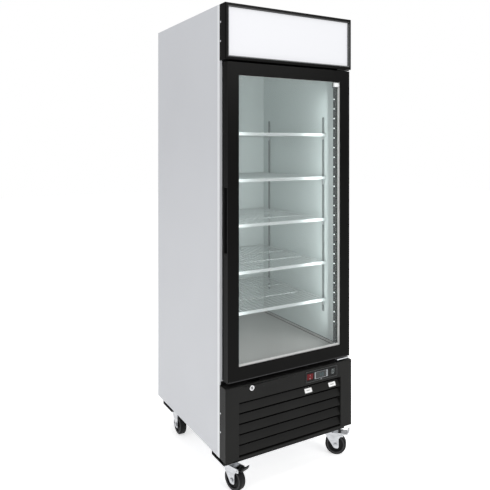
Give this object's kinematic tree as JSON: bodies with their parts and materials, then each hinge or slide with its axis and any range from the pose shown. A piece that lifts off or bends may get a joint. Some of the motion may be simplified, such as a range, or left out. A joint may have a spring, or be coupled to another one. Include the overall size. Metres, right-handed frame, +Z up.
{
  "type": "glass door merchandiser",
  "caption": "Upright refrigerated display cabinet with a glazed swing door, wire shelves, a lit blank sign box, a louvred condensing unit base and swivel casters",
  "frame": {"origin": "on the floor, under the middle of the cabinet's overall footprint", "axes": "+Z up, -Y is the front with the door, +X is the hinge side, on the right seen from the front"},
  "size_m": [0.7121, 0.8064, 2.106],
  "materials": {
    "cabinet_paint": "satin light grey powder coat on sheet steel",
    "front_paint": "satin white powder coat",
    "liner_paint": "satin off-white coated sheet",
    "floor_steel": "brushed",
    "foam": "rigid foam, cut faces",
    "black_paint": "satin black powder coat",
    "sign_white": "translucent blank panel",
    "lamp_white": "smooth",
    "zinc_steel": "bright zinc plate",
    "black_plastic": "fine grain",
    "display_black": "smooth dark window",
    "silver_plastic": "silver painted",
    "red_plastic": "translucent red",
    "lock_chrome": "polished",
    "standard_paint": "satin",
    "led_channel": "dark anodised",
    "coil_metal": "mill finish fins",
    "copper": "drawn tube",
    "shelf_coating": "gloss white epoxy coat",
    "glass": "clear float glass",
    "spacer_metal": "satin",
    "gasket_rubber": "soft",
    "fan_plastic": "moulded",
    "wheel_rubber": "moulded tread"
  },
  "bodies": {
    "cabinet": {"side_panel_left": "cabinet_paint", "side_panel_right": "cabinet_paint", "back_panel": "cabinet_paint", "top_panel": "cabinet_paint", "foam_core": "foam", "inner_liner": "liner_paint", "floor_pan": "floor_steel", "front_frame": "front_paint", "sign_housing": "black_paint", "sign_panel": "sign_white", "sign_lamp": "lamp_white", "trim_screws": "zinc_steel", "base_deck": "zinc_steel", "base_rails": "black_paint", "grille_panel": "black_paint", "control_bezel": "black_plastic", "controller_case": "silver_plastic", "controller_display": "display_black", "lock_barrel": "lock_chrome", "shelf_standards": "standard_paint", "shelf_clips": "zinc_steel", "led_strips": "led_channel", "evaporator_cover": "liner_paint", "evaporator_coil": "coil_metal", "compressor": "black_paint", "condenser_coil": "coil_metal", "fan_shroud": "black_plastic", "refrigerant_lines": "copper", "rear_grille": "cabinet_paint", "cord_gland": "black_plastic", "wall_spacers": "black_plastic", "hinge_brackets": "zinc_steel", "caster_plates": "zinc_steel"},
    "door": {"door_frame": "black_paint", "door_glass": "glass", "glazing_spacer": "spacer_metal", "door_gasket": "gasket_rubber", "handle_insert": "black_plastic"},
    "lock": {"lock_cylinder": "lock_chrome"},
    "power_switch": {"power_rocker": "red_plastic"},
    "light_switch": {"light_rocker": "black_plastic"},
    "key_up": {"key_up": "silver_plastic"},
    "key_down": {"key_down": "silver_plastic"},
    "condenser_fan": {"condenser_fan": "fan_plastic"},
    "evaporator_fan": {"evaporator_fan": "fan_plastic"},
    "shelf_1": {"shelf_1": "shelf_coating"},
    "shelf_2": {"shelf_2": "shelf_coating"},
    "shelf_3": {"shelf_3": "shelf_coating"},
    "shelf_4": {"shelf_4": "shelf_coating"},
    "shelf_5": {"shelf_5": "shelf_coating"},
    "swivel_front_left": {"fork_front_left": "zinc_steel"},
    "wheel_front_left": {"wheel_front_left": "wheel_rubber"},
    "swivel_front_right": {"fork_front_right": "zinc_steel"},
    "wheel_front_right": {"wheel_front_right": "wheel_rubber"},
    "swivel_rear_left": {"fork_rear_left": "zinc_steel"},
    "wheel_rear_left": {"wheel_rear_left": "wheel_rubber"},
    "swivel_rear_right": {"fork_rear_right": "zinc_steel"},
    "wheel_rear_right": {"wheel_rear_right": "wheel_rubber"},
    "pedal_front_left": {"pedal_front_left": "black_plastic"},
    "pedal_front_right": {"pedal_front_right": "black_plastic"}
  },
  "joints": [
    {"name": "door_hinge", "type": "hinge", "parent": "cabinet", "child": "door", "pos_m": [0.314, -0.3735, 0.493], "axis": [0, 0, 1], "range_deg": [0, 110], "stiffness_Nm_per_rad": 1.2},
    {"name": "lock_turn", "type": "hinge", "parent": "cabinet", "child": "lock", "pos_m": [-0.2135, -0.396, 0.454], "axis": [0, -1, 0], "range_deg": [0, 90]},
    {"name": "power_switch_tilt", "type": "hinge", "parent": "cabinet", "child": "power_switch", "pos_m": [0.096, -0.395, 0.439], "axis": [-1, 0, 0], "range_deg": [0, 12]},
    {"name": "light_switch_tilt", "type": "hinge", "parent": "cabinet", "child": "light_switch", "pos_m": [0.228, -0.395, 0.439], "axis": [-1, 0, 0], "range_deg": [0, 12]},
    {"name": "key_up_press", "type": "slide", "parent": "cabinet", "child": "key_up", "axis": [0, 1, 0], "range_m": [0, 0.0008], "stiffness_N_per_m": 300},
    {"name": "key_down_press", "type": "slide", "parent": "cabinet", "child": "key_down", "axis": [0, 1, 0], "range_m": [0, 0.0008], "stiffness_N_per_m": 300},
    {"name": "shelf_1_lift", "type": "slide", "parent": "cabinet", "child": "shelf_1", "axis": [0, 0, 1], "range_m": [0, 0.02]},
    {"name": "shelf_2_lift", "type": "slide", "parent": "cabinet", "child": "shelf_2", "axis": [0, 0, 1], "range_m": [0, 0.02]},
    {"name": "shelf_3_lift", "type": "slide", "parent": "cabinet", "child": "shelf_3", "axis": [0, 0, 1], "range_m": [0, 0.02]},
    {"name": "shelf_4_lift", "type": "slide", "parent": "cabinet", "child": "shelf_4", "axis": [0, 0, 1], "range_m": [0, 0.02]},
    {"name": "shelf_5_lift", "type": "slide", "parent": "cabinet", "child": "shelf_5", "axis": [0, 0, 1], "range_m": [0, 0.02]},
    {"name": "condenser_fan_spin", "type": "hinge", "parent": "cabinet", "child": "condenser_fan", "pos_m": [-0.12, 0.158, 0.32], "axis": [0, 1, 0], "continuous": true},
    {"name": "evaporator_fan_spin", "type": "hinge", "parent": "cabinet", "child": "evaporator_fan", "pos_m": [0, -0.04, 1.934], "axis": [0, 0, 1], "continuous": true},
    {"name": "swivel_front_left", "type": "hinge", "parent": "cabinet", "child": "swivel_front_left", "pos_m": [-0.276, -0.301, 0.11], "axis": [0, 0, 1], "continuous": true},
    {"name": "wheel_spin_front_left", "type": "hinge", "parent": "swivel_front_left", "child": "wheel_front_left", "pos_m": [-0.26426, -0.33714, 0.05], "axis": [0.9511, 0.309, 0], "continuous": true},
    {"name": "pedal_press_front_left", "type": "hinge", "parent": "swivel_front_left", "child": "pedal_front_left", "pos_m": [-0.2553, -0.36472, 0.099], "axis": [0.9511, 0.309, 0], "range_deg": [0, 12]},
    {"name": "swivel_front_right", "type": "hinge", "parent": "cabinet", "child": "swivel_front_right", "pos_m": [0.276, -0.301, 0.11], "axis": [0, 0, 1], "continuous": true},
    {"name": "wheel_spin_front_right", "type": "hinge", "parent": "swivel_front_right", "child": "wheel_front_right", "pos_m": [0.30424, -0.32643, 0.05], "axis": [0.6691, 0.7431, 0], "continuous": true},
    {"name": "pedal_press_front_right", "type": "hinge", "parent": "swivel_front_right", "child": "pedal_front_right", "pos_m": [0.32579, -0.34583, 0.099], "axis": [0.6691, 0.7431, 0], "range_deg": [0, 12]},
    {"name": "swivel_rear_left", "type": "hinge", "parent": "cabinet", "child": "swivel_rear_left", "pos_m": [-0.276, 0.27, 0.11], "axis": [0, 0, 1], "continuous": true},
    {"name": "wheel_spin_rear_left", "type": "hinge", "parent": "swivel_rear_left", "child": "wheel_rear_left", "pos_m": [-0.276, 0.232, 0.05], "axis": [1, 0, 0], "continuous": true},
    {"name": "swivel_rear_right", "type": "hinge", "parent": "cabinet", "child": "swivel_rear_right", "pos_m": [0.276, 0.27, 0.11], "axis": [0, 0, 1], "continuous": true},
    {"name": "wheel_spin_rear_right", "type": "hinge", "parent": "swivel_rear_right", "child": "wheel_rear_right", "pos_m": [0.28647, 0.23347, 0.05], "axis": [0.9613, 0.2756, 0], "continuous": true}
  ]
}
